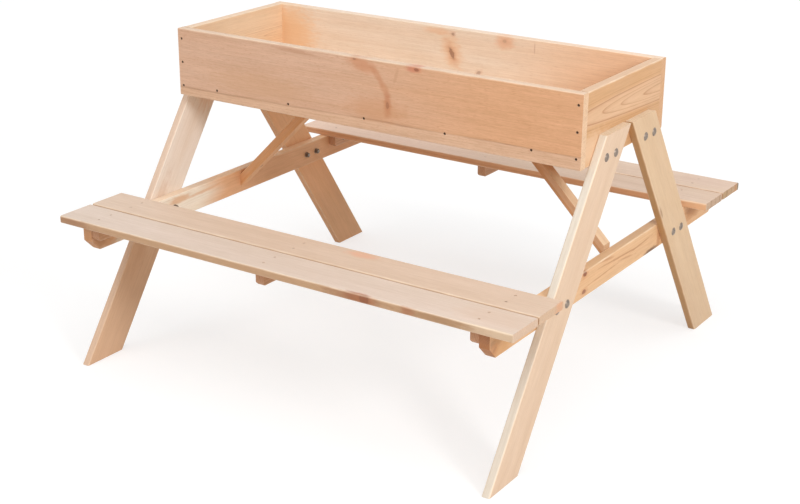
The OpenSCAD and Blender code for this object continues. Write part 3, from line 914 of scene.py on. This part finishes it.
# %% Turn the carriage bolts
def carriage_bolt(stack):
    length = stack + washer_t + nut_t + bolt_tail
    head_r, shank_r, root_r, crest_r = bolt_head_d / 2, 2.8 * MM, 2.45 * MM, 2.95 * MM
    thread_start, dome_steps, turns = -length + 15 * MM, 7, 14
    ball = (head_r ** 2 + bolt_head_h ** 2) / (2 * bolt_head_h)
    dome = [(ball * sin(a), bolt_head_h - ball + ball * cos(a))
            for a in (i / dome_steps * 0.98 * head_r / ball for i in range(dome_steps))]
    rim = [(head_r - 0.15 * MM, 0.45 * MM), (head_r, 0.22 * MM), (head_r, 0.0), (shank_r, 0.0)]
    shank = [(shank_r, thread_start)]
    for turn in range(turns):
        low = thread_start - 0.4 * MM - turn * thread
        shank += [(root_r, low), (crest_r, low - 0.45 * thread), (crest_r, low - 0.55 * thread)]
    tip = [(root_r, -length + 0.5 * MM), (2.1 * MM, -length), (0.0, -length)]
    bolt = turned(dome + rim + shank + tip, 24)

    square = Matrix.Diagonal((bolt_d, bolt_d, bolt_neck, 1))
    neck = bmesh.ops.create_cube(bolt, size=1,
                                 matrix=Matrix.Translation((0, 0, -bolt_neck / 2)) @ square)
    edges = {edge for vert in neck["verts"] for edge in vert.link_edges}
    bmesh.ops.bevel(bolt, geom=list(edges), offset=0.4 * MM, segments=1, profile=0.5,
                    affect="EDGES", material=-1)
    return bolt


bolt_of = {stack: carriage_bolt(stack) for z, stack in (rail_row, tub_row)}
gathered("domed_carriage_bolts",
         [(bolt_of[stack], place, outward) for place, outward, stack in bolt_spots],
         dull_zinc, "carriage_bolts")

# %% [markdown]
# ## Washers and nuts
#
# A washer is a ring with soft corners, so its outline is closed before it is
# spun. A nut is turned too, with its bevelled face, and then six flat cuts leave
# a hexagon, just as a real one is cut. Starting from a six-sided prism would be
# easier, but the arcs where the bevel meets the flats would be missing.

# %% Turn the washers and cut the nuts
washer_r, washer_hole = washer_d / 2, 3.3 * MM
washer = turned([(washer_hole, 0), (washer_r - 0.3 * MM, 0), (washer_r, -0.25 * MM),
                 (washer_r, -washer_t + 0.25 * MM), (washer_r - 0.3 * MM, -washer_t),
                 (washer_hole, -washer_t)], 32, closed=True)
gathered("round_washers", [(washer, place - stack * Vector(outward), outward)
                           for place, outward, stack in bolt_spots],
         dull_zinc, "bolt_washers")


def hexagon_nut():
    bore, corner = 3.02 * MM, nut_flats / 2 / cos(pi / 6)
    nut = turned([(bore + 0.5 * MM, 0), (corner, 0), (corner, -nut_t + 0.9 * MM),
                  (nut_flats / 2 - 0.3 * MM, -nut_t), (bore + 0.5 * MM, -nut_t),
                  (bore, -nut_t + 0.5 * MM), (bore, -0.5 * MM)], 48, closed=True)
    for flat in range(6):
        outward = Vector((cos(flat * pi / 3), sin(flat * pi / 3), 0))
        cut = bmesh.ops.bisect_plane(nut, geom=nut.verts[:] + nut.edges[:] + nut.faces[:],
                                     dist=1e-7, plane_co=outward * nut_flats / 2,
                                     plane_no=outward, clear_outer=True)
        rim = [part for part in cut["geom_cut"] if isinstance(part, bmesh.types.BMEdge)]
        bmesh.ops.contextual_create(nut, geom=rim)
    bmesh.ops.recalc_face_normals(nut, faces=nut.faces)
    return nut


nut = hexagon_nut()
gathered("hexagon_nuts", [(nut, place - (stack + washer_t) * Vector(outward), outward)
                          for place, outward, stack in bolt_spots],
         nut_zinc, "bolt_nuts", smooth=25)
print("open edges in a washer and a nut:", open_edges(washer), open_edges(nut))

# %% [markdown]
# ## Nails
#
# A nail is turned as well: a thin head, slightly crowned, on a plain shank with
# a point. A flat disc would do for the picture, but the whole nail also fills
# its hole when the boards are taken apart. The hammer has driven each one a
# touch below the wood, so that the hole's edge shows as a dark ring. The places
# are counted off in millimetres, as on a tape, and turned into metres last.

# %% Turn the nails
def nail(length):
    sunk, head_r, shank_r, point = 0.25 * MM, 2.48 * MM, 1.2 * MM, 2.5 * MM
    return turned([
        (0.0, -sunk), (1.6 * MM, -sunk - 0.04 * MM), (2.25 * MM, -sunk - 0.16 * MM),
        (head_r, -sunk - 0.4 * MM), (2.4 * MM, -0.95 * MM), (shank_r, -1.15 * MM),
        (shank_r, -length + point), (0.0, -length),
    ], 20)


tub_nail, seat_nail, brace_nail = nail(45 * MM), nail(35 * MM), nail(25 * MM)
tub_face, end_middle, floor_row, seat_top = 165 * MM, 441 * MM, 506.5 * MM, 304 * MM
batten_xs, board_middles = (-421, -22, 421), (340.3, 427.3)
corner_spots = [(tub_nail, (side * end_middle, end * tub_face, z * MM), (0, end, 0))
                for side in (1, -1) for end in (1, -1) for z in (505, 552.5, 600)]
floor_spots = [(tub_nail, (x * MM, end * tub_face, floor_row), (0, end, 0))
               for end in (1, -1) for x in (-354, -177, 0, 177, 354)]
seat_spots = [(seat_nail, (x * MM, end * (y + half) * MM, seat_top), Z)
              for end in (1, -1) for x in batten_xs for y in board_middles
              for half in (-16, 16)]
gathered("corner_nails", corner_spots, nail_iron_painted_shade, "tub_nails")
gathered("floor_edge_nails", floor_spots, nail_iron_painted_shade, "floor_nails")
gathered("bench_nails", seat_spots, nail_iron_painted_reflection, "seat_nails")

# %% [markdown]
# ## Nails of the braces
#
# Each brace has two nails. One is driven slantwise through the heel into the
# cross rail, which carpenters call toenailing, and one goes straight down
# through the tub's floor into the top of the brace. Their places follow from
# the rail's top, the brace's plumb cut and the height of its heel.

# %% Nails of the braces
stick, toe_in, brace_side, rail_x = 18, 6, 12.5, 430
rail_top, floor_under, floor_top = 289, 502, 511
brace_spots = []
for side, heel in ((1, 10), (-1, -10)):
    plumb = stick * sqrt(2)
    toe_z = rail_top + (heel - plumb + toe_in + min(heel, 0)) / 2
    top_x = rail_x - (floor_under - rail_top - heel) - plumb / 6
    toe = (side * (rail_x - toe_in) * MM, brace_side * MM, toe_z * MM)
    brace_spots.append((brace_nail, toe, (-side, 1, 0)))
    brace_spots.append((brace_nail, (side * top_x * MM, 0, floor_top * MM), Z))
gathered("nails_of_braces", brace_spots, nail_iron_painted_shade, "brace_nails")

# %% [markdown]
# ## Screws
#
# The screws under the seats have a cross recess. It could be cut out with a
# Boolean, but pushing it in keeps the mesh clean: a small square face grows four
# arms, the head is filled round them, and the cross is then drawn downwards and
# narrowed.

# %% Make the screws
def cross_screw(length):
    head, shank, arm, deep = 3.7 * MM, 2.0 * MM, 1.3 * MM, 1.2 * MM
    screw = turned([(head, 0.0), (head, -0.25 * MM), (shank, -1.85 * MM),
                    (shank * 0.8, -length + 3 * MM), (0.0, -length)], 24)
    rim = [edge for edge in screw.edges if edge.is_boundary]
    arms = bmesh.ops.create_grid(screw, x_segments=1, y_segments=1, size=0.55 * MM)
    middle = list(arms["verts"][0].link_faces)
    for edge in list(middle[0].edges):
        outward = (edge.verts[0].co + edge.verts[1].co).normalized() * arm
        grown = bmesh.ops.extrude_edge_only(screw, edges=[edge])
        bmesh.ops.translate(screw, vec=outward,
                            verts=[v for v in grown["geom"] if isinstance(v, bmesh.types.BMVert)])
    cross = [face for face in screw.faces if abs(face.calc_center_median().z) < 1e-7
             and face.calc_center_median().xy.length < 2.2 * MM]
    outline = [edge for face in cross for edge in face.edges if edge.is_boundary]
    bmesh.ops.triangle_fill(screw, use_beauty=True, edges=rim + outline)
    sunk = bmesh.ops.extrude_face_region(screw, geom=cross)
    floor = [v for v in sunk["geom"] if isinstance(v, bmesh.types.BMVert)]
    bmesh.ops.delete(screw, geom=cross, context="FACES_KEEP_BOUNDARY")
    bmesh.ops.translate(screw, verts=floor, vec=(0, 0, -deep))
    bmesh.ops.scale(screw, verts=floor, vec=(0.55, 0.55, 1))
    bmesh.ops.recalc_face_normals(screw, faces=screw.faces)
    return screw


screw, batten_face, batten_z = cross_screw(32 * MM), 412 * MM, 276.5 * MM
screw_spots = [(screw, (side * batten_face, end * y * MM, batten_z), (-side, 0, 0))
               for side in (1, -1) for end in (1, -1) for y in board_middles]
gathered("cross_head_screws", screw_spots, dull_zinc, "batten_screws")
print("open edges in a screw:", open_edges(screw))

# %% [markdown]
# ## Sizes
#
# The dressed table must be as big as the CAD model.
